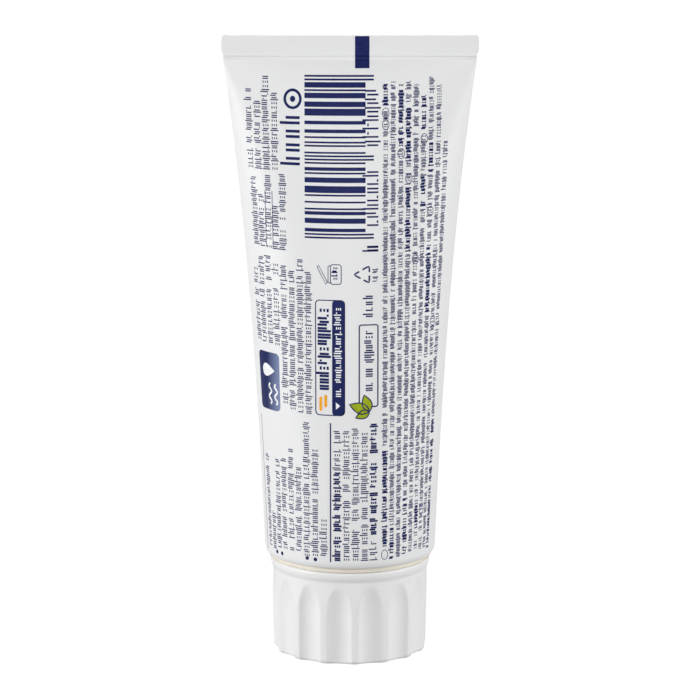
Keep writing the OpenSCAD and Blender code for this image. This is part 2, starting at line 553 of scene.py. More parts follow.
@dataclass
class SleeveForm:
    """The sleeve's shape, which the print and the paste follow too.

    Attributes:
        foot: height of the sleeve's lower end.
        head: height of its crimped end.
        diameter: its outside diameter where it is round.
        wall: thickness of the wall.
        curl_in: how far the lower edge curls in.
        curl_h: height of that curl.
        crimp_h: height of the welded band.
        crimp_draw: share of the flattened girth that the weld leaves.
        crimp_step: how far the band stands out past the sleeve on each side.
        crimp_ease: height over which the sleeve swells into the band.
        crimp_corner: radius of the band's upper corners.
        corner_share: how much of that radius the corners are drawn in by.
        lean: how far the band's sides lean in towards the top.
        step_up: how far over the band's edge its step starts.
        step_h: height of that step.
        ridge: height of the raised line along the band's edge.
        ridge_h: how far over the band's edge the close rows reach.
        flare: how the width grows, for the share of the height, its square and its cube.
        end_power: how square the section's ends are at the band.
        crowd: how much the rows draw together towards the band.
        body_rows: number of rows between the curl and the band.
    """

    foot: float
    head: float
    diameter: float
    wall: float = 0.45
    curl_in: float = 0.8
    curl_h: float = 1.5
    crimp_h: float = 4.3
    crimp_draw: float = 0.965
    crimp_step: float = 0.45
    crimp_ease: float = 0.8
    crimp_corner: float = 0.8
    corner_share: float = 0.5
    lean: float = 0.12
    step_up: float = 0.15
    step_h: float = 1.2
    ridge: float = 0.2
    ridge_h: float = 0.65
    flare: tuple[float, float, float] = (0.55, 0.15, 0.3)
    end_power: float = 0.3
    crowd: float = 1.6
    body_rows: int = 110

    def __post_init__(self) -> None:
        """Works out the sizes that follow from the fields."""
        self.radius = self.diameter / 2
        self.lip = self.radius - self.curl_in
        self.curl_top = self.foot + self.curl_h
        self.band = self.head - self.crimp_h
        self.body_top = self.band - self.crimp_ease
        flat_half = math.pi * (self.diameter - self.wall) / 4
        self.band_half = self.crimp_draw * flat_half + self.wall / 2
        self.end_half = self.band_half - self.crimp_step
        self.power = math.log(2) / math.log(math.pi / 2)

    def _girth(self, wide: np.ndarray | float, deep: np.ndarray | float) -> np.ndarray | float:
        """Gives a measure of an ellipse's girth from its half axes."""
        return (wide**self.power + deep**self.power) ** (1 / self.power)

    def axes(self, height: np.ndarray) -> tuple[np.ndarray, np.ndarray, np.ndarray]:
        """Gives the cross-section at each height.

        Args:
            height: heights on the sleeve.

        Returns:
            Half widths, half depths and the power of the section's ends.
        """
        z = np.asarray(height, float)
        share = np.clip((z - self.curl_top) / (self.body_top - self.curl_top), 0, 1)
        flare = sum(part * share**power for power, part in enumerate(self.flare, 1))
        wide = self.radius + (self.end_half - self.radius) * flare
        girth = self._girth(self.radius, self.radius) * (1 - share)
        girth = girth + self._girth(self.end_half, self.wall) * share
        spare = girth**self.power - wide**self.power
        deep = np.maximum(spare, self.wall**self.power) ** (1 / self.power)
        dip = np.clip((self.curl_top - z) / self.curl_h, 0, 1)
        curled = self.lip + self.curl_in * np.sqrt(np.clip(1 - dip**2, 0, 1))
        wide = np.where(z < self.curl_top, curled, wide)
        deep = np.where(z < self.curl_top, curled, deep)
        ends = np.interp(z, [self.body_top, self.band], [1.0, self.end_power])
        step = self.crimp_step * smooth((z - self.band - self.step_up) / self.step_h)
        return wide + step - self._corner(z), deep + self._ridge(z), ends

    def _corner(self, z: np.ndarray) -> np.ndarray:
        """Gives how far the band's side is drawn in towards its top.

        Args:
            z: heights on the sleeve.

        Returns:
            The distance at each height.
        """
        rise = np.clip((z - self.head + self.crimp_corner) / self.crimp_corner, 0, 1)
        lean = self.lean * np.clip((z - self.band) / self.crimp_h, 0, 1) ** 2
        return self.corner_share * self.crimp_corner * (1 - np.sqrt(1 - rise**2)) + lean

    def _ridge(self, z: np.ndarray) -> np.ndarray:
        """Gives the raised line at the band's lower edge, and the crease under it.

        Args:
            z: heights on the sleeve.

        Returns:
            How far the surface stands out at each height.
        """
        knots = np.array([-0.5, -0.22, -0.06, 0.08, 0.26, 0.42, 0.6])
        lift = np.array([0.0, -0.18, 0.15, 1.0, 1.0, 0.2, 0.0]) * self.ridge
        edge = np.array([self.crimp_h - 0.08, self.crimp_h])
        fall = np.array([0.0, -0.05])
        return np.interp(z - self.band, np.append(knots, edge), np.append(lift, fall))

    def ring(self, height: float, inset: float, columns: int) -> np.ndarray:
        """Gives the points of one cross-section, moved in by an inset.

        Args:
            height: its height.
            inset: how far it lies under the surface.
            columns: number of points.

        Returns:
            The points, against the clock from +X.
        """
        wide, deep, ends = self.axes(np.array([height]))
        turn = np.arange(columns) * 2 * math.pi / columns
        side = np.sin(turn)
        side = np.where(np.abs(side) < 1e-9, 0, side)
        x = (wide[0] - inset) * np.cos(turn)
        y = (deep[0] - inset) * np.sign(side) * np.abs(side) ** ends[0]
        return np.stack([x, y, np.full(columns, float(height))], 1)

    def wrap(self, flat: np.ndarray) -> np.ndarray:
        """Lays flat points onto the printed side.

        Args:
            flat: distances round the sleeve, heights up it and heights off it.

        Returns:
            The points on the sleeve.
        """
        across, z, lift = flat.T
        wide, deep, ends = self.axes(z)
        nodes, weights = np.polynomial.legendre.leggauss(16)
        nodes, weights = (nodes + 1) / 2, weights / 2
        turn = across / wide
        for _ in range(8):
            at = turn[:, None] * nodes[None, :]
            speed = np.hypot(wide[:, None] * np.cos(at), deep[:, None] * np.sin(at))
            length = turn * (speed * weights).sum(1)
            rate = np.hypot(wide * np.cos(turn), deep * np.sin(turn))
            turn = np.clip(turn - (length - across) / rate, -1.5, 1.5)
        x = wide * np.sin(turn)
        y = -deep * np.cos(turn) ** ends
        normal = np.stack([deep * np.sin(turn), -wide * np.cos(turn)], 1)
        normal /= np.linalg.norm(normal, axis=1)[:, None]
        return np.stack([x + normal[:, 0] * lift, y + normal[:, 1] * lift, z], 1)

    def ring_heights(self) -> np.ndarray:
        """Gives the heights of the outer rings, closest together at the crimp."""
        curl = self.curl_top - self.curl_h * np.cos(arc(14))
        share = 1 - (1 - np.linspace(0, 1, self.body_rows)) ** self.crowd
        body = self.curl_top + (self.body_top - self.curl_top) * share
        ridge_top = self.band + self.ridge_h
        ridge = np.linspace(self.body_top, ridge_top, 34)
        band = np.linspace(ridge_top, self.head - self.crimp_corner, 10)
        corner = self.head - self.crimp_corner * (1 - np.sin(arc(12)))
        return np.unique(np.round(np.concatenate([curl, body, ridge, band, corner]), 5))

    def inner_top(self) -> float:
        """Gives the height at which the inner walls meet."""
        z = np.linspace(self.curl_top, self.body_top, 2000)
        _, deep, _ = self.axes(z)
        return float(z[deep > 2 * self.wall][-1])


@dataclass
class Sleeve:
    """The extruded sleeve: one closed skin with its inner wall."""

    form: SleeveForm
    columns: int = 256
    inner_rows: int = 40

    def build(self) -> bpy.types.Object:
        """Builds the sleeve and puts it in place of its CAD node."""
        outer = [self.form.ring(z, 0, self.columns) for z in self.form.ring_heights()]
        rings = self._inner_rings()[::-1] + outer
        caps = strip_close(self.columns, (len(rings) - 1) * self.columns)
        caps += [face[::-1] for face in strip_close(self.columns, 0)]
        mesh = grid_mesh("sleeve", rings, closed=True, caps=caps)
        mesh.materials.append(SLEEVE_WHITE.material())
        piece = place("tube_sleeve", mesh, "tube", 50, "sleeve_plastic")
        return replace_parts(piece, "sleeve")

    def _inner_rings(self) -> list[np.ndarray]:
        """Gives the rings of the inner wall, from the lip up to where it closes."""
        form = self.form
        rings = []
        for u in arc(8):
            r = form.lip + (form.curl_in - form.wall) * math.sin(u)
            z = form.curl_top - (form.curl_h - form.wall) * math.cos(u)
            rings += revolve([(r, z)], self.columns)
        share = 1 - (1 - np.linspace(0, 1, self.inner_rows)[1:]) ** form.crowd
        top = form.inner_top()
        for z in form.curl_top + (top - form.curl_top) * share:
            rings.append(form.ring(float(z), form.wall, self.columns))
        return rings


@dataclass
class ScrewCap:
    """The fluted cap, one sector repeated round the axis, and its thread.

    Attributes:
        height: the cap's height.
        radius: the radius of its side at the cove.
        neck_r: radius of the neck that it takes.
        neck_top: height at which that neck meets the shoulder.
        flute_full: height up to which the flutes keep their depth.
        flute_arch: height over which they then run out.
        ridge_turn: angle in degrees of one land from the front.
        cove_mid: how far over the side's top the cove is deepest.
        cove_up, cove_down: how far the cove's hollow reaches up and down.
    """

    height: float
    radius: float
    neck_r: float
    neck_top: float
    taper: float = 0.4
    base_round: float = 0.9
    root_round: float = 0.45
    skirt_wall: float = 1.2
    plate: float = 1.6
    bead_h: float = 1.1
    bead_out: float = 0.25
    cove_h: float = 1.4
    flutes: int = 15
    flute_w: float = 5.2
    flute_depth: float = 1.05
    flute_full: float = 10.5
    flute_arch: float = 6.7
    ridge_turn: float = 3.7
    land_round: float = 0.2
    cove_dip: float = 0.24
    cove_mid: float = 0.1
    cove_up: float = 0.6
    cove_down: float = 3.4
    flare_h: float = 1.9
    thread_room: float = 0.9
    collar_wall: float = 1.2
    collar_gap: float = 0.6
    seat_h: float = 1.3
    plug_h: float = 1.4
    plug_r: float = 2.7
    columns: int = 36

    def __post_init__(self) -> None:
        """Works out the sizes that follow from the fields."""
        self.pitch = 2 * math.pi / self.flutes
        self.side_top = self.height - self.bead_h - self.cove_h
        half = math.asin(self.flute_w / 2 / self.radius)
        sag = self.flute_depth - self.radius * (1 - math.cos(half))
        self.bar = ((self.flute_w / 2) ** 2 + sag**2) / (2 * sag)
        self.bend = (self.flute_arch**2 + self.flute_depth**2) / (2 * self.flute_depth)
        root = self.radius - self.flute_depth
        self.root = root - self.taper * (1 - self.flute_full / self.side_top)
        self.skirt_r = root - self.skirt_wall
        self.collar_r = self.neck_r + self.thread_room
        self.seat = self.plate + self.seat_h

    def _blank(self, z: float) -> float:
        """Gives the side's radius at a height, before the flutes are cut.

        Args:
            z: the height.

        Returns:
            The radius.
        """
        if z <= self.side_top:
            return self.radius - self.taper * (1 - z / self.side_top) - self._dip(z)
        share = min((z - self.side_top) / self.flare_h, 1)
        bead = self.radius + self.bead_out * (1 - math.cos(math.pi * share)) / 2 - self._dip(z)
        rim = self.bead_h / 2
        rise = min(max((z - self.height + rim) / rim, 0), 1)
        return bead - rim * (1 - math.sqrt(1 - rise**2))

    def _dip(self, z: float) -> float:
        """Gives how far the cove is hollowed in at a height.

        Args:
            z: the height.

        Returns:
            The depth of the hollow.
        """
        away = z - self.side_top - self.cove_mid
        reach = self.cove_up if away > 0 else self.cove_down
        return self.cove_dip * math.exp(-((away / reach) ** 2))

    def _cut(self, turn: np.ndarray, z: float) -> np.ndarray:
        """Gives the radius of a flute's surface.

        Args:
            turn: angles from the flute's middle.
            z: the height.

        Returns:
            The radius at each angle, far out where the flute has run out.
        """
        lean = self.taper / self.side_top * (z - self.flute_full)
        centre = self.root + lean + self.bend
        rise = max(z - self.flute_full, 0)
        reach = np.full_like(turn, self.radius)
        for _ in range(12):
            y = np.clip(reach * np.sin(turn), -self.bar, self.bar)
            ring = self.bend - self.bar + np.sqrt(self.bar**2 - y**2)
            x = centre - np.sqrt(np.maximum(ring**2 - rise**2, 0))
            reach = 0.5 * reach + 0.5 * x / np.cos(turn)
        return reach

    def _side(self, turn: np.ndarray, z: float) -> np.ndarray:
        """Gives the fluted side's radius, with softly rounded lands and edges.

        Args:
            turn: angles from the flute's middle.
            z: the height.

        Returns:
            The radius at each angle.
        """
        blank = np.full_like(turn, self._blank(z))
        cut = self._cut(turn, z)
        near = np.clip(1 - np.abs(blank - cut) / self.land_round, 0, 1)
        side = np.minimum(blank, cut) - 0.25 * self.land_round * near**2
        depth = np.clip((blank - side) / self.flute_depth, 0, 1)
        edge = self.base_round + (self.root_round - self.base_round) * depth
        fall = np.clip(1 - z / edge, 0, 1)
        return side - edge * (1 - np.sqrt(1 - fall**2))

    def _sector(self) -> bpy.types.Mesh:
        """Builds one flute's share of the whole cap."""
        turn = np.linspace(-self.pitch / 2, self.pitch / 2, self.columns + 1)
        foot = self._side(turn, 0.0)
        rows = [(foot * share, 0.0) for share in (0, 0.35, 0.7, 0.9, 0.98)]
        rim = self.bead_h / 2
        heights = np.concatenate([
            self.base_round * (1 - np.cos(arc(9))),
            np.linspace(self.base_round, self.flute_full, 12)[1:],
            np.linspace(self.flute_full, self.side_top, 34)[1:],
            np.linspace(self.side_top, self.height - rim, 20)[1:],
            self.height - rim * (1 - np.sin(arc(9))),
        ])
        rows += [(self._side(turn, float(z)), float(z)) for z in heights]
        rows += [(np.full_like(turn, r), z) for r, z in self._inside()]
        points = [
            np.column_stack([r * np.cos(turn), r * np.sin(turn), np.full_like(turn, z)])
            for r, z in rows
        ]
        return grid_mesh("cap_sector", points, closed=False)

    def _inside(self) -> Outline:
        """Gives the profile of the cap's inside, from the rim to the axis."""
        collar_out = self.collar_r + self.collar_wall
        collar_top = self.neck_top - self.collar_gap
        rim_r = self.radius + self.bead_out - self.bead_h / 2
        return rounded([
            (rim_r, self.height, 0),
            (self.skirt_r, self.height, 0.3),
            (self.skirt_r - self.taper, self.plate, 0.5),
            (collar_out, self.plate, 0.4),
            (collar_out, collar_top, 0.3),
            (self.collar_r, collar_top, 0.3),
            (self.collar_r, self.seat, 0.2),
            (self.plug_r, self.seat, 0.15),
            (self.plug_r, self.seat + self.plug_h, 0.4),
            (0, self.seat + self.plug_h, 0),
        ])

    def build(self) -> list[bpy.types.Object]:
        """Builds the cap and its thread."""
        recipe = Recipe("sector_ring", {
            "Count": ("NodeSocketInt", self.flutes),
            "First Turn": ("NodeSocketFloat", 0.0),
            "Weld": ("NodeSocketFloat", WELD),
        })
        count = recipe.input("Count")
        points = recipe.node("GeometryNodePoints", {}, {"Count": count})
        index = recipe.node("GeometryNodeInputIndex", {}, {})
        turn = index * (2 * math.pi / count) + recipe.input("First Turn")
        euler = recipe.vector(0.0, 0.0, turn)
        spin = recipe.node("FunctionNodeEulerToRotation", {}, {"Euler": euler})
        inputs = {"Points": points, "Instance": recipe.input("Geometry"), "Rotation": spin}
        ring = recipe.node("GeometryNodeInstanceOnPoints", {}, inputs)
        real = recipe.node("GeometryNodeRealizeInstances", {}, {"Geometry": ring})
        merge = {"Geometry": real, "Distance": recipe.input("Weld")}
        recipe.close(recipe.node("GeometryNodeMergeByDistance", {}, merge))
        first = math.radians(self.ridge_turn - 90) + self.pitch / 2
        mesh = recipe.run(self._sector(), CAP_WHITE.material(), {"First Turn": first})
        cap = place("cap_shell", mesh, "cap", 35, "cap_plastic")
        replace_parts(cap, "screw_cap")
        thread = Thread(radius=self.collar_r + 0.12, rise=-0.42, foot=4.6, turns=3.7, phase=0.5)
        return [cap, thread.build("cap_thread", "cap", CAP_WHITE, "cap_plastic")]


@dataclass
class Thread:
    """A ridge that follows a helix, tapering out at both ends.

    Attributes:
        radius: the radius that its foot stands on.
        rise: how far its crest stands out, negative for an inner thread.
        foot: height at which it starts.
        turns: number of turns.
        phase: start angle, as a share of a turn.
        pitch: rise of one turn.
        foot_w: width of the ridge at its foot.
        crest_w: width of its crest.
        tip: its size at the very ends, as a share of the whole.
        steps: points to a turn.
    """

    radius: float
    rise: float
    foot: float
    turns: float
    phase: float
    pitch: float = 2.75
    foot_w: float = 1.25
    crest_w: float = 0.55
    tip: float = 0.1
    steps: int = 96

    def build(self, name: str, body: str, finish: Plastic, slot: str) -> bpy.types.Object:
        """Builds the thread as a piece of a body.

        Args:
            name: the piece's name.
            body: the body that it is moulded on.
            finish: its plastic.
            slot: the record's material slot.

        Returns:
            The piece.
        """
        recipe = Recipe(name + "_helix", {
            "Radius": ("NodeSocketFloat", self.radius),
            "Turns": ("NodeSocketFloat", self.turns),
            "Pitch": ("NodeSocketFloat", self.pitch),
            "Rise": ("NodeSocketFloat", self.rise),
            "Foot Width": ("NodeSocketFloat", self.foot_w),
            "Crest Width": ("NodeSocketFloat", self.crest_w),
        })
        turns, rise = recipe.input("Turns"), recipe.input("Rise")
        helix = recipe.node("GeometryNodeCurveSpiral", {}, {
            "Resolution": self.steps,
            "Rotations": turns,
            "Start Radius": recipe.input("Radius"),
            "End Radius": recipe.input("Radius"),
            "Height": turns * recipe.input("Pitch"),
        })
        helix = recipe.node("GeometryNodeSetCurveNormal", {"mode": "Z_UP"}, {"Curve": helix})
        along = recipe.node("GeometryNodeSplineParameter", {}, {}, "Factor")
        lead = 2 * self.turns
        swell = (along * lead).least((1 - along) * lead).least(1.0)
        swell = swell * (1 - self.tip) + self.tip
        helix = recipe.node("GeometryNodeSetCurveRadius", {}, {"Curve": helix, "Radius": swell})
        foot, crest = recipe.input("Foot Width"), recipe.input("Crest Width")
        quad = "GeometryNodeCurvePrimitiveQuadrilateral"
        profile = recipe.node(quad, {"mode": "POINTS"}, {
            "Point 1": recipe.vector(0.0, foot * 0.5, 0.0),
            "Point 2": recipe.vector(0.0 - rise, crest * 0.5, 0.0),
            "Point 3": recipe.vector(0.0 - rise, crest * -0.5, 0.0),
            "Point 4": recipe.vector(0.0, foot * -0.5, 0.0),
        })
        inputs = {"Curve": helix, "Profile Curve": profile, "Fill Caps": True, "Scale": swell}
        recipe.close(recipe.node("GeometryNodeCurveToMesh", {}, inputs))
        mesh = recipe.run(bpy.data.meshes.new(name), finish.material(), {})
        spin = Matrix.Rotation(2 * math.pi * self.phase, 4, "Z")
        mesh.transform(Matrix.Translation((0, 0, self.foot)) @ spin)
        with opened(mesh) as work:
            bmesh.ops.recalc_face_normals(work, faces=work.faces)
        return place(name, mesh, body, 30, slot)


@dataclass
class TubeHead:
    """The moulded head: rim, flange, shoulder and neck, with its thread.

    Attributes:
        form: the sleeve's shape.
        flange_z: height of the flange's lower side.
        neck_tip: height of the neck's lower end.
        shoulder_r: radius at which the shoulder meets the flange.
        bond_h, bond_wall, bond_gap: height, wall and gap of the rim in the sleeve.
        lip_w, lip_drop, lip_h: width of the lip, and how far it goes down and up.
        groove: depth of the groove between the lip and the sleeve.
        edge: rounding of the small corners.
    """

    form: SleeveForm
    flange_z: float
    neck_r: float = 6.95
    neck_wall: float = 1.4
    neck_tip: float = 3.1
    orifice_r: float = 3.0
    orifice_wall: float = 1.5
    shoulder_r: float = 13.6
    shoulder_wall: float = 1.2
    slope_deg: float = 27.0
    bond_h: float = 3.4
    bond_wall: float = 1.0
    bond_gap: float = 0.05
    lip_w: float = 0.7
    lip_drop: float = 0.16
    lip_h: float = 0.08
    groove: float = 0.2
    edge: float = 0.05
    columns: int = 180

    def __post_init__(self) -> None:
        """Works out the sizes that follow from the fields."""
        self.slope = math.tan(math.radians(self.slope_deg))
        self.flange_r = self.form.lip - 2 * self.bond_gap
        self.bond_r = self.form.radius - self.form.wall - self.bond_gap
        self.bond_in = self.bond_r - self.bond_wall
        self.neck_in = self.neck_r - self.neck_wall
        self.neck_top = self.flange_z - (self.shoulder_r - self.neck_r) * self.slope
        self.rise = self.shoulder_wall / math.cos(math.radians(self.slope_deg))

    def shelf(self, radius: float) -> float:
        """Gives the height of the shoulder's upper side at a radius."""
        return self.neck_top + (radius - self.neck_r) * self.slope + self.rise

    def _profile(self) -> Outline:
        """Gives the closed profile, against the clock from the neck's side."""
        form, edge = self.form, self.edge
        curl_low = form.foot + form.wall + self.bond_gap
        lip_low, lip_top = self.flange_z - self.lip_drop, self.flange_z + self.lip_h
        lip_in, groove_r = self.flange_r - self.lip_w, self.flange_r - self.groove
        bond_top = form.foot + self.bond_h
        bore_top = self.neck_tip + self.orifice_wall
        seam = (self.neck_r, self.neck_tip + 2, 0.0)
        curl = [
            (
                self.flange_r + (self.bond_r - self.flange_r) * math.sin(u),
                form.curl_top - (form.curl_top - curl_low) * math.cos(u),
                0.0,
            )
            for u in arc(8)
        ]
        return rounded([
            seam,
            (self.neck_r, self.neck_top, 0.6),
            (self.shoulder_r, self.flange_z, 0.5),
            (lip_in - edge, self.flange_z, edge),
            (lip_in, lip_low, edge),
            (self.flange_r, lip_low, 0.14),
            (self.flange_r, lip_top, 0.1),
            (groove_r, lip_top + edge, edge),
            (groove_r, curl_low - edge, edge),
            *curl,
            (self.bond_r, bond_top, 0.3),
            (self.bond_in, bond_top, 0.2),
            (self.bond_in, self.shelf(self.bond_in), 0.4),
            (self.neck_in, self.shelf(self.neck_in), 0.8),
            (self.neck_in, bore_top, 0.3),
            (self.orifice_r, bore_top, 0.15),
            (self.orifice_r, self.neck_tip, 0.2),
            (self.neck_r, self.neck_tip, 0.35),
            seam,
        ])

    def build(self) -> list[bpy.types.Object]:
        """Builds the head and its thread."""
        mesh = grid_mesh("head", revolve(self._profile(), self.columns), closed=True)
        mesh.materials.append(HEAD_IVORY.material())
        head = place("tube_head_moulding", mesh, "tube", 35, "head_plastic")
        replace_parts(head, "tube_head")
        thread = Thread(radius=self.neck_r - 0.1, rise=0.55, foot=5.2, turns=2.6, phase=0.0)
        return [head, thread.build("neck_thread", "tube", HEAD_IVORY, "head_plastic")]


@dataclass
class Paste:
    """The paste that fills the sleeve, the shoulder and the neck.

    Attributes:
        form: the sleeve's shape.
        head: the head that it fills.
        gap: its clearance to both.
        tip_flat, tip_round: radius of its lower end's flat and of the rounding.
        tip_h: height of that rounding.
        spare: how far under the weld it ends.
        body_rows: number of rows over the head.
        crowd: how much they draw together towards the weld.
    """

    form: SleeveForm
    head: TubeHead
    gap: float = 0.05
    tip_flat: float = 1.6
    tip_round: float = 2.6
    tip_h: float = 0.2
    spare: float = 0.4
    body_rows: int = 44
    crowd: float = 1.5
    columns: int = 128

    def build(self) -> bpy.types.Object:
        """Builds the paste and puts it in place of its CAD node."""
        form, head = self.form, self.head
        gap, inset = self.gap, form.wall + self.gap
        foot = head.neck_tip + head.orifice_wall + gap
        step = form.foot + head.bond_h + gap
        rows = revolve(rounded([
            (0.0, foot - self.tip_h, 0.0),
            (self.tip_flat, foot - 0.75 * self.tip_h, 1.0),
            (self.tip_round, foot, 0.6),
            (head.neck_in - gap, foot, 0.35),
            (head.neck_in - gap, head.shelf(head.neck_in) + gap, 0.8),
            (head.bond_in - gap, head.shelf(head.bond_in) + gap, 0.45),
            (head.bond_in - gap, step, 0.2),
            (form.radius - inset, step + gap, 0.0),
        ]), self.columns)
        low, top = step + 1, form.inner_top() - self.spare
        share = 1 - (1 - np.linspace(0, 1, self.body_rows)) ** self.crowd
        rows += [form.ring(float(z), inset, self.columns) for z in low + (top - low) * share]
        rows.append(rows[-1] * np.array([1, 0, 1]))
        mesh = grid_mesh("paste", rows, closed=True)
        mesh.materials.append(PASTE_MINT.material())
        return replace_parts(place("paste_fill", mesh, "tube", 40, "paste"), "paste")


@dataclass(frozen=True)
class Strokes:
    """How a row of print-like strokes is set.

    Attributes:
        pitch: distance from one stroke cell to the next.
        stroke: thickness of a stroke.
        height: height of a low stroke.
        gaps: share of the cells that are left bare.
        second: share of the upright cells that get a second stroke.
    """

    pitch: float
    stroke: float
    height: float
    gaps: float = 0.14
    second: float = 0.7


class Weight(Enum):
    """The sizes of print on the sleeve."""

    FINE = Strokes(0.56, 0.2, 0.85, 0.1)
    FINE_BOLD = Strokes(0.58, 0.27, 0.88, 0.1)
    BODY = Strokes(0.84, 0.235, 1.14, 0.1)
    BODY_BOLD = Strokes(0.88, 0.37, 1.2, 0.11)
    LABEL = Strokes(0.92, 0.3, 1.45, 0.06)
    COUNT = Strokes(1.6, 0.35, 2.3, 0.0, 0.6)
    TITLE = Strokes(1.24, 0.5, 1.95, 0.0)
    SUBTITLE = Strokes(0.95, 0.25, 1.05)
    QUANTITY = Strokes(2.3, 0.58, 2.9, 0.0, 0.8)


@dataclass(frozen=True)
class Row:
    """A row of strokes up the sleeve: place round it, foot, head and weight."""

    across: float
    foot: float
    head: float
    weight: Weight


class Flat:
    """Flat artwork of one ink, which is cut up and wrapped onto the sleeve."""

    def __init__(self, top: float = INK_TOP) -> None:
        """Starts empty artwork whose top stands that far off the sleeve."""
        self.top = top
        self.mesh = bmesh.new()

    def fill(self, outline: Outline) -> None:
        """Adds a filled outline, given against the clock.

        Args:
            outline: the points of the outline.
        """
        low = [self.mesh.verts.new((x, y, -INK_SUNK)) for x, y in outline]
        high = [self.mesh.verts.new((x, y, self.top)) for x, y in outline]
        count = len(outline)
        self.mesh.faces.new(high)
        self.mesh.faces.new(low[::-1])
        for i in range(count):
            j = (i + 1) % count
            self.mesh.faces.new((low[i], low[j], high[j], high[i]))

    def bar(self, left: float, right: float, foot: float, head: float) -> None:
        """Adds a filled box with sharp corners."""
        self.fill([(left, foot), (right, foot), (right, head), (left, head)])

    def line(self, path: Outline, width: float, closed: bool = True) -> None:
        """Adds a stroke of an even width along a path.

        Args:
            path: the points of its middle.
            width: its width.
            closed: whether its end joins its start.
        """
        count = len(path)
        points = [Vector(p) for p in path]
        sides = []
        for i, here in enumerate(points):
            back = points[i - 1] if closed or i > 0 else here
            ahead = points[(i + 1) % count] if closed or i < count - 1 else here
            along = (ahead - here).normalized() + (here - back).normalized()
            side = Vector((along.y, -along.x)).normalized() * width / 2
            sides.append((here + side, here - side))
        rings = [
            [self.mesh.verts.new((*p, z)) for p in pair for z in (-INK_SUNK, self.top)]
            for pair in sides
        ]
        for i in range(count if closed else count - 1):
            a, b = rings[i], rings[(i + 1) % count]
            for k, j in ((1, 3), (2, 0), (0, 1), (3, 2)):
                self.mesh.faces.new((a[k], b[k], b[j], a[j]))
        if not closed:
            self.mesh.faces.new([rings[0][k] for k in (0, 1, 3, 2)])
            self.mesh.faces.new([rings[-1][k] for k in (2, 3, 1, 0)])

    def take(self, mesh: bpy.types.Mesh) -> None:
        """Adds a mesh that is already flat artwork."""
        self.mesh.from_mesh(mesh)

    def finish(
        self, name: str, form: SleeveForm, ink: Ink, cut: float = 0.7
    ) -> bpy.types.Object:
        """Cuts the artwork up, wraps it and makes it a piece.

        Args:
            name: the piece's name.
            form: the sleeve it lies on.
            ink: its ink.
            cut: the widest stretch round the sleeve that stays uncut.

        Returns:
            The piece.
        """
        work = self.mesh
        places = [v.co.x for v in work.verts]
        for k in range(math.floor(min(places) / cut) + 1, math.ceil(max(places) / cut)):
            self._slice(0, k * cut)
        for height in form.ring_heights():
            self._slice(1, float(height))
        bmesh.ops.recalc_face_normals(work, faces=work.faces)
        mesh = bpy.data.meshes.new(name)
        work.to_mesh(mesh)
        work.free()
        flat = np.empty(len(mesh.vertices) * 3)
        mesh.vertices.foreach_get("co", flat)
        mesh.vertices.foreach_set("co", form.wrap(flat.reshape(-1, 3)).ravel())
        mesh.materials.clear()
        mesh.materials.append(ink.material())
        return place(name, mesh, "tube", 30)

    def _slice(self, axis: int, at: float) -> None:
        """Cuts the artwork along one line of a direction.

        Args:
            axis: 0 for a cut at a place round the sleeve, 1 for one at a height.
            at: that place or height.
        """
        work = self.mesh
        normal = Vector((1, 0, 0)) if axis == 0 else Vector((0, 1, 0))
        crossed = [
            f for f in work.faces
            if min(v.co[axis] for v in f.verts) < at < max(v.co[axis] for v in f.verts)
        ]
        if not crossed:
            return
        parts = set(crossed)
        for f in crossed:
            parts.update(f.edges)
            parts.update(f.verts)
        bmesh.ops.bisect_plane(
            work, geom=list(parts), plane_co=normal * at, plane_no=normal, dist=1e-5
        )


def rounded_box(left: float, right: float, foot: float, head: float, corner: float) -> Outline:
    """Gives the outline of a box with rounded corners, against the clock.

    Args:
        left, right: its sides.
        foot, head: its lower and upper end.
        corner: radius of its corners.

    Returns:
        The outline.
    """
    centres = [
        (right - corner, head - corner, 0),
        (left + corner, head - corner, 90),
        (left + corner, foot + corner, 180),
        (right - corner, foot + corner, 270),
    ]
    return [
        (x + corner * math.cos(u), y + corner * math.sin(u))
        for x, y, start in centres
        for u in np.radians(start + np.linspace(0, 90, 6))
    ]


def oval(across: float, height: float, half_w: float, half_h: float, count: int = 28) -> Outline:
    """Gives the outline of an oval, against the clock.

    Args:
        across, height: its middle.
        half_w, half_h: its half axes.
        count: number of points.

    Returns:
        The outline.
    """
    turn = np.arange(count) * 2 * math.pi / count
    return [(across + half_w * math.cos(u), height + half_h * math.sin(u)) for u in turn]


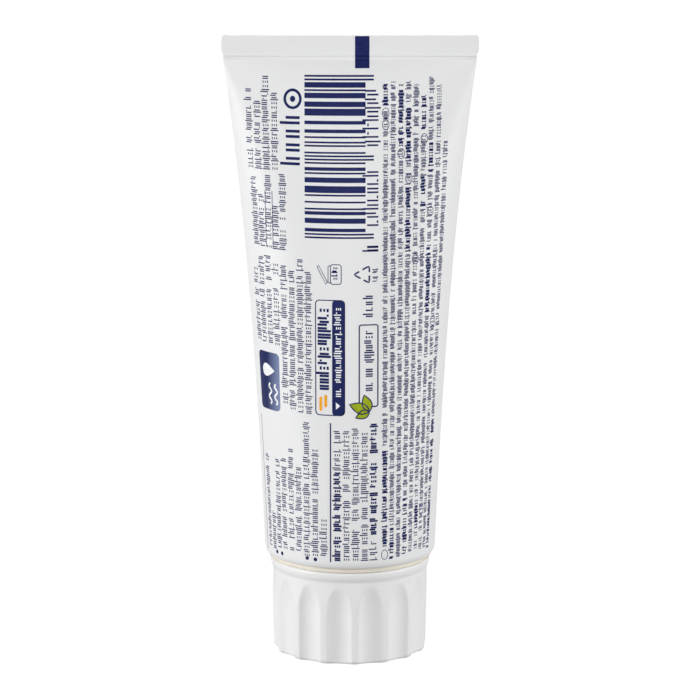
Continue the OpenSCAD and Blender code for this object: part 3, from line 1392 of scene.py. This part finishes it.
@dataclass
class SleevePrint:
    """The print: stroke rows, bars, boxes, signs and fields of colour.

    Attributes:
        form: the sleeve's shape.
        end_room: how much of a cell stays bare at a row's end.
        word_gap: distance between a fine row and its bold part.
        pieces: what has been laid on the sleeve.
    """

    form: SleeveForm
    end_room: float = 0.8
    word_gap: float = 0.6
    pieces: list[bpy.types.Object] = field(default_factory=list)

    def _stroke_recipe(self) -> Recipe:
        """Builds the tree that sets strokes along rows."""
        recipe = Recipe("stroke_rows", {
            "Pitch": ("NodeSocketFloat", 1.0),
            "Stroke": ("NodeSocketFloat", 0.2),
            "Height": ("NodeSocketFloat", 1.0),
            "Gaps": ("NodeSocketFloat", 0.1),
            "Second": ("NodeSocketFloat", 0.5),
            "Top": ("NodeSocketFloat", INK_TOP),
            "Seed": ("NodeSocketInt", 1),
        })
        upright_share, rise_share, late_share, tall = 0.84, 0.34, 0.2, 0.42
        first_at, dash_at, late_at, second_at = 0.18, 0.42, 0.62, 0.64
        pitch, stroke, height = (recipe.input(k) for k in ("Pitch", "Stroke", "Height"))
        curve = recipe.node("GeometryNodeMeshToCurve", {}, {0: recipe.input("Geometry")})
        inputs = {"Curve": curve, "Length": pitch}
        points = recipe.node("GeometryNodeResampleCurve", {"mode": "LENGTH"}, inputs)
        filled = recipe.chance(0, 1.0 - recipe.input("Gaps"))
        upright = recipe.both(filled, recipe.chance(1, upright_share))
        dense = recipe.both(filled, recipe.other(upright))
        paired = recipe.chance(2, recipe.input("Second"))
        block = recipe.node("GeometryNodeMeshCube", {}, {"Size": (1.0, 1.0, 1.0)})
        rise = recipe.chance(3, rise_share) * (height * tall)
        late_rise = recipe.chance(4, late_share) * (height * tall)
        level = recipe.chance(5, 0.5) * 2.0 - 1.0
        inner = (height - stroke) * 0.5
        dash = pitch * 0.56
        thin = stroke * 0.85
        double = recipe.both(upright, paired)
        single = recipe.both(upright, recipe.other(paired))
        parts = [
            (upright, (height + rise, stroke), (rise * -0.5, pitch * first_at)),
            (double, (height + late_rise, stroke), (late_rise * -0.5, pitch * second_at)),
            (single, (thin, pitch * 0.34), (level * inner, pitch * late_at)),
            (dense, (thin, dash), (inner, pitch * dash_at)),
            (dense, (thin, dash), (inner * -1.0, pitch * dash_at)),
            (dense, (thin, dash * 0.8), (0.0, pitch * dash_at)),
        ]
        joined = recipe.tree.nodes.new("GeometryNodeJoinGeometry")
        for chosen, size, shift in parts:
            made = self._strokes(recipe, points, chosen, block, size, shift)
            recipe.tree.links.new(made.socket, joined.inputs[0])
        recipe.close(Term(recipe, joined.outputs[0]))
        return recipe

    @staticmethod
    def _strokes(
        recipe: Recipe, points: Term, chosen: Term, block: Term, size: tuple, shift: tuple
    ) -> Term:
        """Puts one kind of stroke on the chosen points.

        Args:
            recipe: the tree.
            points: the stroke cells.
            chosen: which of them get it.
            block: the block that is scaled.
            size: its height and its thickness.
            shift: how far it stands from the cell's start, across and along.

        Returns:
            The strokes, as instances.
        """
        top = recipe.input("Top")
        scale = recipe.vector(*size, top + INK_SUNK)
        inputs = {"Points": points, "Selection": chosen, "Instance": block, "Scale": scale}
        made = recipe.node("GeometryNodeInstanceOnPoints", {}, inputs)
        middle = recipe.vector(*shift, (top - INK_SUNK) * 0.5)
        move = {"Instances": made, "Translation": middle, "Local Space": False}
        return recipe.node("GeometryNodeTranslateInstances", {}, move)

    def _rows(
        self, recipe: Recipe, rows: list[Row], top: float = INK_TOP
    ) -> dict[Weight, bpy.types.Mesh]:
        """Sets the rows of each weight.

        Args:
            recipe: the tree that sets strokes.
            rows: the rows.
            top: how far the strokes stand off the sleeve.

        Returns:
            The flat strokes of each weight.
        """
        made = {}
        for seed, weight in enumerate(Weight):
            chosen = [r for r in rows if r.weight is weight]
            if not chosen:
                continue
            mesh = bpy.data.meshes.new("rows")
            style = weight.value
            short = self.end_room * style.pitch
            ends = [(r.across, z, 0) for r in chosen for z in (r.foot, r.head - short)]
            mesh.from_pydata(ends, [(2 * k, 2 * k + 1) for k in range(len(chosen))], [])
            made[weight] = recipe.run(mesh, NAVY.material(), {
                "Pitch": style.pitch, "Stroke": style.stroke, "Height": style.height,
                "Gaps": style.gaps, "Second": style.second, "Top": top, "Seed": 11 * seed + 3,
            })
        return made

    def _small_print(self) -> list[Row]:
        """Gives the dense rows on the right, with their bold parts."""
        first, step = 7.3, 1.58
        heads = [119.6, 120.2, 119.6, 120.2, 119.6, 117.4, 121.0, 119.4, 107.9]
        feet = [25.2, 22.6, 22.8, 23.2, 23.4, 23.6, 23.2, 23.4, 23.0]
        bold = {
            0: [(25.2, 45.2), (115.5, 119.6)],
            1: [(22.6, 29.0)],
            2: [(107.3, 119.6)],
            3: [(23.2, 34.8), (86.0, 99.0), (102.5, 115.5)],
            5: [(28.0, 34.0), (95.0, 101.7), (110.0, 117.4)],
            6: [(73.0, 87.0), (101.9, 107.8)],
            8: [(24.0, 50.0)],
        }
        rows = []
        for k, (at, top) in enumerate(zip(feet, heads)):
            across = first + step * k
            for foot, head in bold.get(k, []):
                if foot - at > self.word_gap:
                    rows.append(Row(across, at, foot - self.word_gap, Weight.FINE))
                rows.append(Row(across, foot, head, Weight.FINE_BOLD))
                at = head + self.word_gap
            if top - at > self.word_gap:
                rows.append(Row(across, at, top, Weight.FINE))
        return rows

    def _body_rows(self) -> list[Row]:
        """Gives the larger rows."""
        blocks = [
            (-20.95, 1.8, [(102.3, 118.5), (102.3, 116.1), (102.3, 121.1), (102.3, 118.7)]),
            (-20.4, 1.6, [
                (86.6, 100.6), (86.4, 97.1), (86.2, 101.2), (86.1, 95.0), (86.1, 101.6),
            ]),
            (-21.2, 1.8, [
                (66.5, 81.7), (66.4, 84.2), (66.4, 84.6), (66.1, 83.2),
                (53.4, 83.8), (53.2, 82.0), (52.9, 84.5), (52.8, 82.0),
            ]),
            (-20.6, 1.9, [
                (23.3, 42.6), (23.0, 30.9), (23.6, 42.2), (23.6, 42.7), (23.7, 45.0),
                (23.9, 41.4), (23.0, 51.0), (23.2, 45.6), (23.5, 31.2),
            ]),
            (-2.57, 1.87, [
                (41.4, 49.6), (22.6, 49.6), (22.6, 51.0), (22.6, 49.3), (22.6, 26.6),
            ]),
        ]
        rows = [
            Row(first + step * k, foot, head, Weight.BODY)
            for first, step, spans in blocks
            for k, (foot, head) in enumerate(spans)
        ]
        return rows + [Row(*place, weight) for weight, places in (
            (Weight.BODY_BOLD, [(-2.57, 22.6, 41.0), (4.91, 28.0, 51.0)]),
            (Weight.LABEL, [(3.95, 73.0, 77.4), (3.95, 57.8, 70.2)]),
            (Weight.FINE, [(5.2, 80.2, 83.0)]),
            (Weight.FINE_BOLD, [(-3.0, 80.6, 83.2)]),
            (Weight.COUNT, [(4.65, 91.4, 102.6), (4.65, 107.4, 118.6), (4.65, 86.2, 87.6)]),
            (Weight.TITLE, [(-5.3, 58.0, 74.8)]),
            (Weight.QUANTITY, [(-11.75, 103.4, 113.4)]),
        ) for place in places]

    def _bars(self) -> bpy.types.Mesh:
        """Builds the bar pattern: long guard bars and bars of random widths."""
        module, foot = 0.341, 88.95
        short, guard, left = 12.5, 14.2, -9.32
        guards = (0, 2, 46, 48, 92, 94)
        rng = np.random.default_rng(41)
        bars = [(k, 1, guard) for k in guards]
        for start, end in ((4, 45), (50, 91)):
            at = start
            while at < end:
                width = min(int(rng.choice([1, 1, 1, 2, 2, 3, 4])), end - at)
                bars.append((at, width, short))
                at += width + int(rng.choice([1, 1, 2, 2, 3]))
        mesh = bpy.data.meshes.new("bars")
        mesh.from_pydata([
            (left + length / 2, foot + module * (at + width / 2), 0) for at, width, length in bars
        ], [], [])
        for name, values in (
            ("bar_length", [length for _, _, length in bars]),
            ("bar_width", [module * width for _, width, _ in bars]),
        ):
            mesh.attributes.new(name, "FLOAT", "POINT").data.foreach_set("value", values)
        recipe = Recipe("bar_pattern", {
            "Top": ("NodeSocketFloat", INK_TOP),
            "Ink Spread": ("NodeSocketFloat", 0.02),
        })
        named = "GeometryNodeInputNamedAttribute"
        length = recipe.node(named, {"data_type": "FLOAT"}, {"Name": "bar_length"})
        width = recipe.node(named, {"data_type": "FLOAT"}, {"Name": "bar_width"})
        block = recipe.node("GeometryNodeMeshCube", {}, {"Size": (1.0, 1.0, 1.0)})
        top = recipe.input("Top")
        scale = recipe.vector(length, width + recipe.input("Ink Spread"), top + INK_SUNK)
        inputs = {"Points": recipe.input("Geometry"), "Instance": block, "Scale": scale}
        made = recipe.node("GeometryNodeInstanceOnPoints", {}, inputs)
        lift = (top - INK_SUNK) * 0.5
        move = {"Instances": made, "Translation": recipe.vector(0.0, 0.0, lift)}
        recipe.close(recipe.node("GeometryNodeTranslateInstances", {}, move))
        return recipe.run(mesh, NAVY.material(), {})

    def _signs(self) -> Flat:
        """Draws the navy outlines, rules, fields and small signs."""
        art = Flat()
        for left, width, foot, head in (
            (1.02, 2.96, 122.6, self.form.head - 0.1),
            (-4.15, 0.27, 22.3, 51.2),
            (-22.75, 0.15, 22.0, 50.6),
            (-17.95, 0.14, 86.4, 98.0),
            (-16.35, 0.14, 86.4, 98.0),
        ):
            art.bar(left, left + width, foot, head)
        art.line(rounded_box(-7.1, -1.1, 52.8, 76.4, 0.8), 0.22)
        art.fill(rounded_box(-3.67, -1.05, 52.75, 76.45, 0.75))
        art.line(rounded_box(1.9, 5.75, 54.6, 71.4, 0.45), 0.26)
        for across, height in ((-17.9, 22.5), (-16.1, 22.5), (-9.2, 22.7), (-7.3, 22.6)):
            art.fill(oval(across, height, 0.42, 0.42, 16))
        for across, height in (
            (12.1, 100.8), (13.7, 84.3), (16.85, 93.8), (18.4, 71.0), (10.5, 105.9),
            (15.3, 108.7), (7.3, 114.0), (7.3, 111.7), (7.3, 23.6), (16.85, 31.8),
        ):
            art.line(oval(across, height, 0.68, 1.0), 0.13)
        self._jar(art)
        self._loop(art)
        art.line(oval(-11.75, 116.7, 1.6, 1.75, 40), 0.55)
        art.fill(oval(-11.75, 116.7, 0.55, 0.6, 20))
        return art

    @staticmethod
    def _jar(art: Flat) -> None:
        """Draws the outline of a jar with its lid lifted.

        Args:
            art: the artwork that it is added to.
        """
        art.line(rounded_box(-4.0, -1.8, 79.7, 83.7, 0.5), 0.17)
        art.line([(-4.05, 79.9), (-4.5, 80.1), (-4.5, 83.3), (-4.05, 83.5)], 0.17, closed=False)
        art.line([(-6.75, 83.1), (-6.45, 83.5), (-4.65, 80.1), (-4.95, 79.7)], 0.17)

    @staticmethod
    def _loop(art: Flat) -> None:
        """Draws a triangle with rounded corners in three strokes.

        Args:
            art: the artwork that it is added to.
        """
        corners = [Vector((0.75, 81.7)), Vector((3.95, 79.95)), Vector((3.95, 83.45))]
        for k, here in enumerate(corners):
            back, ahead = corners[k - 1], corners[(k + 1) % 3]
            start, end = here.lerp(back, 0.36), here.lerp(ahead, 0.44)
            bend = here.lerp(back, 0.05).lerp(here.lerp(ahead, 0.05), 0.5)
            path = [start, here.lerp(back, 0.16), bend, here.lerp(ahead, 0.16), end]
            art.line([tuple(p) for p in path], 0.34, closed=False)

    @staticmethod
    def _leaf(
        across: float, height: float, length: float, half_w: float, turn: float
    ) -> Outline:
        """Gives the outline of a pointed leaf that grows from its foot.

        Args:
            across: where its foot is round the sleeve.
            height: where its foot is up the sleeve.
            length: its length.
            half_w: half its width.
            turn: the way that it points, in degrees.

        Returns:
            The outline, against the clock.
        """
        share = np.linspace(0, 1, 12)
        side = half_w * np.sin(math.pi * share**0.8)
        path = [*zip(length * share, -side), *zip(length * share[-2:0:-1], side[-2:0:-1])]
        cos, sin = math.cos(math.radians(turn)), math.sin(math.radians(turn))
        return [(across + x * cos - y * sin, height + x * sin + y * cos) for x, y in path]

    def _leaves(self) -> tuple[Flat, Flat]:
        """Draws the sprig of leaves, as green fields and navy outlines."""
        fields, lines = Flat(0.022), Flat(0.028)
        foot = (4.0, 53.6)
        for length, half_w, turn in ((4.4, 1.1, 160), (3.6, 1.0, 108), (3.1, 0.85, 205)):
            outline = self._leaf(*foot, length, half_w, turn)
            fields.fill(outline)
            lines.line(outline, 0.24)
        return fields, lines

    def _panel(self) -> tuple[Flat, Flat]:
        """Draws the fading panel and the drop and waves on it."""
        ground, marks = Flat(), Flat(0.024)
        ground.fill(rounded_box(-21.9, -15.5, 52.3, 64.4, 1.0))
        share = np.linspace(0, 1, 20)
        tip, length, middle = -20.6, 3.7, 60.6
        side = 1.35 * np.sin(math.pi * share**0.6) ** 0.9
        across = tip + length * share
        back = slice(-2, 0, -1)
        marks.fill([*zip(across, middle - side), *zip(across[back], middle + side[back])])
        low, high = 53.6, 57.9
        height = np.linspace(low, high, 22)
        swing = 0.38 * np.sin((height - low) / (high - low) * 4 * math.pi)
        for first in (-18.3, -16.6):
            marks.line([*zip(first + swing, height)], 0.42, closed=False)
        return ground, marks

    def _lay(self, name: str, art: Flat, ink: Ink) -> None:
        """Wraps finished artwork onto the sleeve and keeps the piece."""
        self.pieces.append(art.finish(name, self.form, ink))

    def build(self) -> list[bpy.types.Object]:
        """Builds all the print."""
        recipe = self._stroke_recipe()
        rows = self._small_print() + self._body_rows()
        for weight, mesh in self._rows(recipe, rows).items():
            art = Flat()
            art.take(mesh)
            self._lay(f"print_rows_{weight.name.lower()}", art, NAVY)
        bars = Flat()
        bars.take(self._bars())
        self._lay("print_bars", bars, NAVY)
        self._lay("print_signs", self._signs(), NAVY)
        light = Flat(0.024)
        light.fill([(-2.0, 54.75), (-2.9, 55.5), (-2.9, 54.0)])
        subtitle = [Row(-2.36, 56.6, 75.0, Weight.SUBTITLE)]
        for mesh in self._rows(recipe, subtitle, light.top).values():
            light.take(mesh)
        self._lay("print_light_rows", light, WHITE)
        fields, lines = self._leaves()
        self._lay("print_leaf_fields", fields, GREEN)
        self._lay("print_leaf_lines", lines, NAVY)
        accent = Flat(0.02)
        accent.fill(rounded_box(-6.35, -5.75, 53.6, 56.6, 0.28))
        accent.fill(rounded_box(-5.3, -4.7, 54.4, 57.0, 0.28))
        self._lay("print_accent", accent, AMBER)
        ground, marks = self._panel()
        self._lay("print_panel", ground, NAVY_FADE)
        self._lay("print_panel_marks", marks, WHITE)
        return self.pieces


@dataclass
class Studio:
    """Camera, pale floor, soft lamps and a plain white surround, in metres.

    Attributes:
        aim: the point that the camera looks at.
        lamp_aim: the point that the lamps look at.
        ambient: strength of the light from all round.
        sheen: how much of the white surround a reflection sees.
        glow: strength of the floor's white, where it is seen.
        glow_share: how much of the seen floor is that white.
    """

    focal_mm: float = 600.1
    sensor_mm: float = 36.0
    distance: float = 2.4
    elevation_deg: float = 13.6
    aim: tuple[float, float, float] = (0.0, 0.0, 0.06295)
    lamp_aim: tuple[float, float, float] = (0.0, 0.0, 0.07)
    ambient: float = 0.25
    sheen: float = 0.68
    glow: float = 1.22
    glow_share: float = 0.8
    floor_half: float = 3.0
    floor_grey: Colour = (0.4, 0.4, 0.4)

    def camera(self) -> None:
        """Places the camera at the photograph's angle."""
        data = bpy.data.cameras.new("camera")
        data.lens = self.focal_mm
        data.sensor_width = self.sensor_mm
        data.clip_end = 50
        camera = bpy.data.objects.new("camera", data)
        bpy.context.scene.collection.objects.link(camera)
        tilt = math.radians(self.elevation_deg)
        away = Vector((0, -math.cos(tilt), math.sin(tilt)))
        camera.location = Vector(self.aim) + away * self.distance
        camera.rotation_euler = (-away).to_track_quat("-Z", "Y").to_euler()
        bpy.context.scene.camera = camera

    def lamps(self) -> None:
        """Hangs the soft lamps."""
        for name, spot, size, power in (
            ("left_softbox", (-0.75, -0.3, 0.2), (0.5, 0.36), 4.97),
            ("right_softbox", (0.75, -0.3, 0.2), (0.5, 0.36), 3.29),
            ("right_tall", (0.75, -0.25, 0.42), (0.5, 0.8), 1.15),
            ("front_softbox", (0.0, -1.3, 0.25), (0.6, 0.4), 1.38),
            ("front_high", (0.0, -1.2, 0.7), (0.8, 0.5), 1.1),
            ("back_softbox", (0.0, 1.5, 0.5), (0.9, 0.7), 5.0),
        ):
            data = bpy.data.lights.new(name, "AREA")
            data.shape = "RECTANGLE"
            data.size, data.size_y = size
            data.energy = power
            lamp = bpy.data.objects.new(name, data)
            lamp.location = spot
            towards = Vector(self.lamp_aim) - Vector(spot)
            lamp.rotation_euler = towards.to_track_quat("-Z", "Y").to_euler()
            lamp.visible_camera = False
            bpy.context.scene.collection.objects.link(lamp)

    def _seen(self, graph: Graph) -> Term:
        """Gives 1 where the camera looks, and somewhat less for a reflection.

        Args:
            graph: the nodes that it is added to.

        Returns:
            1 for the camera and a view through something, sheen for a reflection, else 0.
        """
        path = graph.tree.nodes.new("ShaderNodeLightPath")
        kinds = ("Is Camera Ray", "Is Glossy Ray", "Is Transmission Ray")
        camera, glossy, through = (Term(graph, path.outputs[kind]) for kind in kinds)
        return (camera + glossy * self.sheen + through).least(1.0)

    def surround(self) -> None:
        """Gives a plain light, and white where the camera looks."""
        world = bpy.data.worlds.new("surround")
        world.use_nodes = True
        bpy.context.scene.world = world
        graph = Graph(world.node_tree)
        back = world.node_tree.nodes["Background"]
        strength = self._seen(graph) * (1 - self.ambient) + self.ambient
        graph.feed(back.inputs["Strength"], strength)
        back.inputs["Color"].default_value = (1, 1, 1, 1)

    def floor(self) -> bpy.types.Object:
        """Lays the floor, which shows white and keeps the shadow."""
        half = self.floor_half
        corners = [(-half, -half, 0), (half, -half, 0), (half, half, 0), (-half, half, 0)]
        mesh = bpy.data.meshes.new("floor")
        mesh.from_pydata(corners, [], [(0, 1, 2, 3)])
        made = bpy.data.materials.new("floor_white")
        made.use_nodes = True
        graph = Graph(made.node_tree)
        nodes = made.node_tree.nodes
        nodes.remove(nodes["Principled BSDF"])
        matt = graph.node("ShaderNodeBsdfDiffuse", {}, {"Color": (*self.floor_grey, 1)})
        light = {"Color": (1, 1, 1, 1), "Strength": self.glow}
        glow = graph.node("ShaderNodeEmission", {}, light)
        blend = {0: self._seen(graph) * self.glow_share, 1: matt, 2: glow}
        mixed = graph.node("ShaderNodeMixShader", {}, blend)
        graph.feed(nodes["Material Output"].inputs["Surface"], mixed)
        mesh.materials.append(made)
        floor = bpy.data.objects.new("floor", mesh)
        bpy.context.scene.collection.objects.link(floor)
        return floor

    def build(self) -> None:
        """Sets up the whole studio."""
        self.camera()
        self.lamps()
        self.surround()
        self.floor()
        bpy.context.scene.view_settings.view_transform = "Standard"


def main() -> None:
    """Builds the tube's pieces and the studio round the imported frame."""
    logging.basicConfig(level=logging.INFO, format="%(name)s: %(message)s")
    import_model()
    low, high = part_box("sleeve")
    cap_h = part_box("screw_cap")[1].z / MM
    form = SleeveForm(low.z / MM, high.z / MM, (high.y - low.y) / MM)
    head = TubeHead(form, cap_h + RIM_GAP)
    ScrewCap(cap_h, form.radius - CAP_INSET, head.neck_r, head.neck_top).build()
    head.build()
    Sleeve(form).build()
    Paste(form, head).build()
    SleevePrint(form).build()
    Studio().build()


if __name__ == "__main__":
    main()
